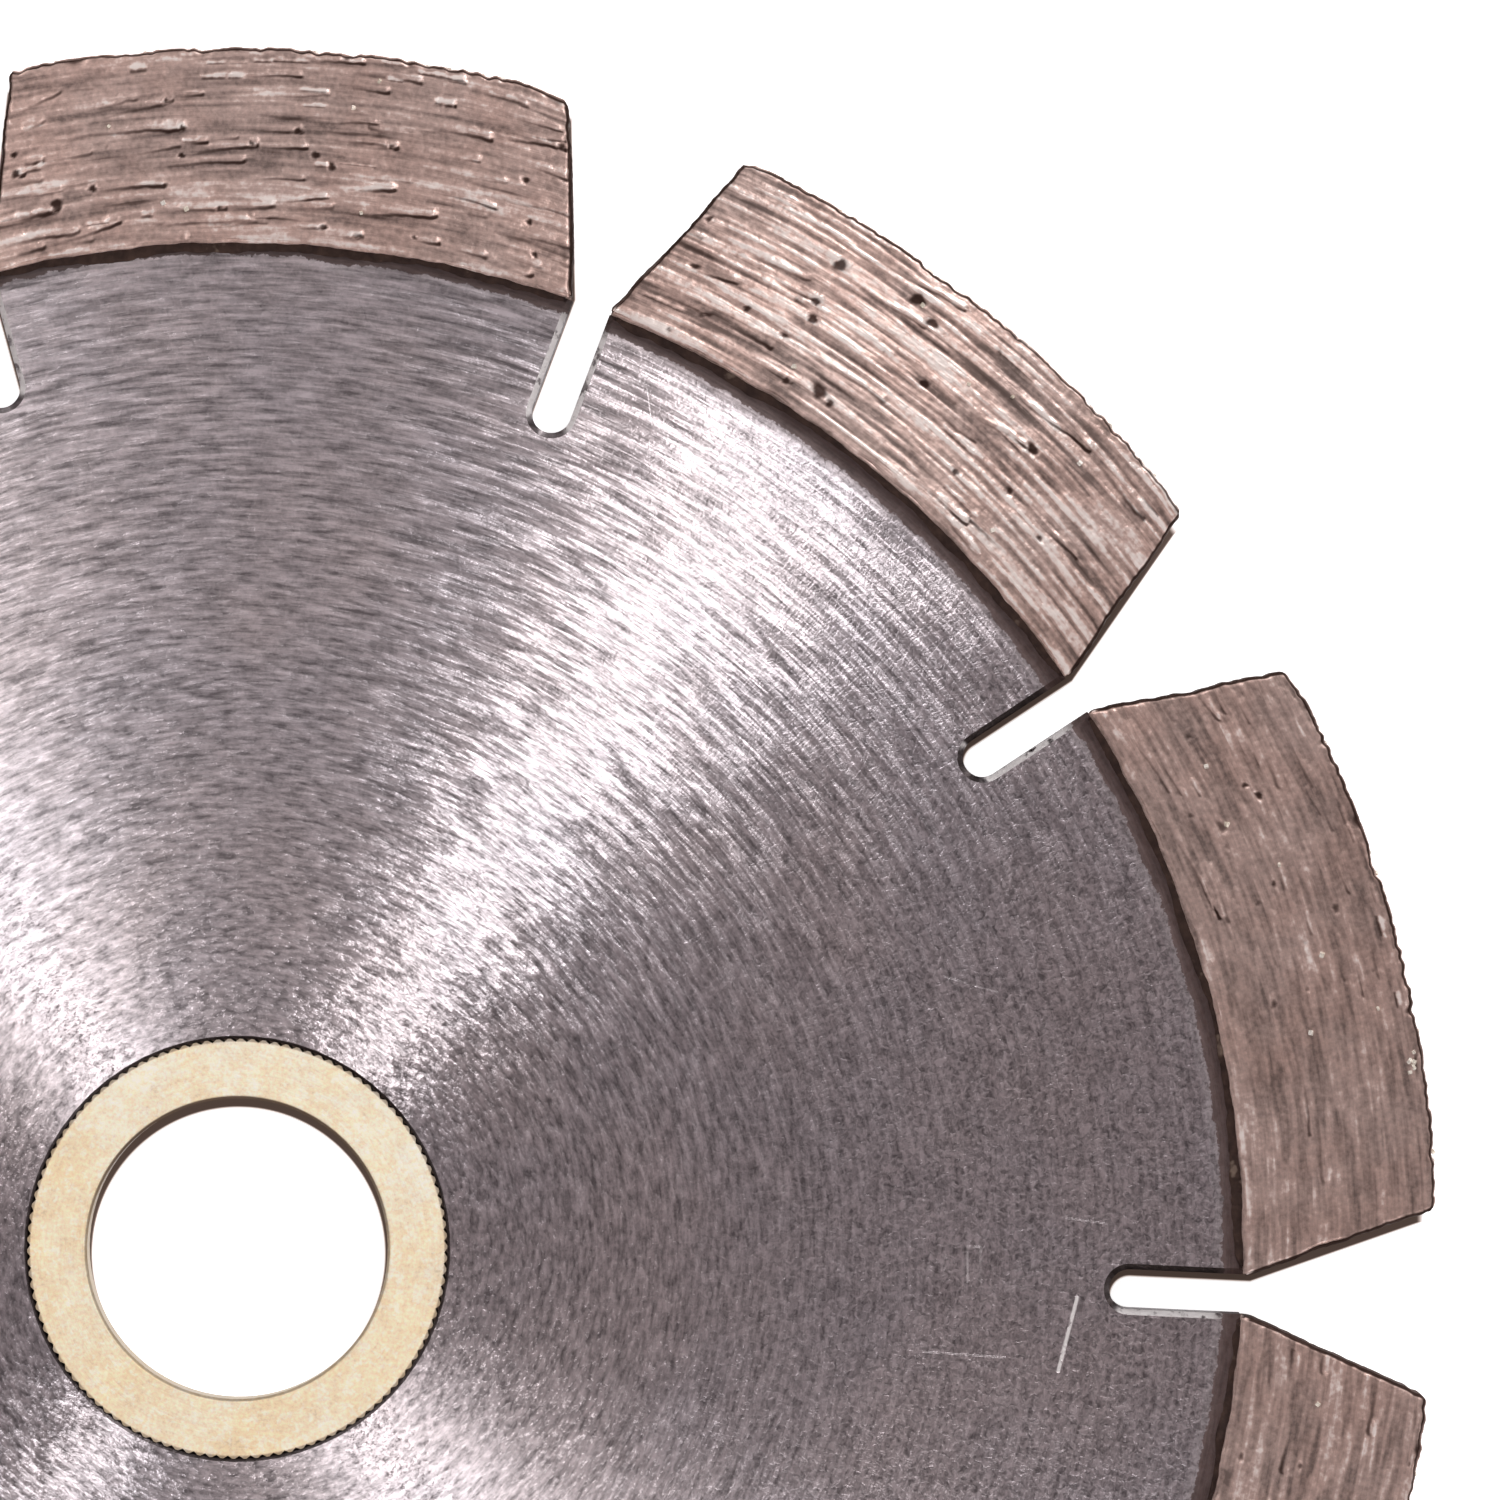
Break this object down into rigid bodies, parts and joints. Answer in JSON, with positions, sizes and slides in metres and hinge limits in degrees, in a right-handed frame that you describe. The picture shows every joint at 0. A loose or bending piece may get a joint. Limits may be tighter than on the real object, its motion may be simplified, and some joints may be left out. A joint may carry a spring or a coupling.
{
  "type": "diamond blade",
  "caption": "Round steel saw blade with abrasive metal-bond segments brazed to its rim, radial gullets between them and a knock-out reducing bushing in its bore.",
  "frame": {"origin": "on the axis of the arbor bore, at half the blade's thickness", "axes": "+Z along the blade's axis, out of the face seen in the picture; +Y through the middle of segment_01; the blade lies flat"},
  "size_m": [0.1266, 0.127, 0.0064],
  "materials": {
    "core_steel": "brushed in circles about the axis",
    "bushing_brass": "satin",
    "segment_bond": "coarse-ground sintered bronze bond with pits and exposed grit",
    "braze_filler": "dull, oxidised, lumpy"
  },
  "bodies": {
    "blade": {"core": "core_steel", "segment_01": "segment_bond", "segment_02": "segment_bond", "segment_03": "segment_bond", "segment_04": "segment_bond", "segment_05": "segment_bond", "segment_06": "segment_bond", "segment_07": "segment_bond", "segment_08": "segment_bond", "segment_09": "segment_bond", "segment_10": "segment_bond", "braze_01": "braze_filler", "braze_02": "braze_filler", "braze_03": "braze_filler", "braze_04": "braze_filler", "braze_05": "braze_filler", "braze_06": "braze_filler", "braze_07": "braze_filler", "braze_08": "braze_filler", "braze_09": "braze_filler", "braze_10": "braze_filler"},
    "bushing": {"arbor_bushing": "bushing_brass"}
  },
  "joints": [
    {"name": "bushing_push_out", "type": "slide", "parent": "blade", "child": "bushing", "axis": [0, 0, 1], "range_m": [0, 0.01]}
  ]
}
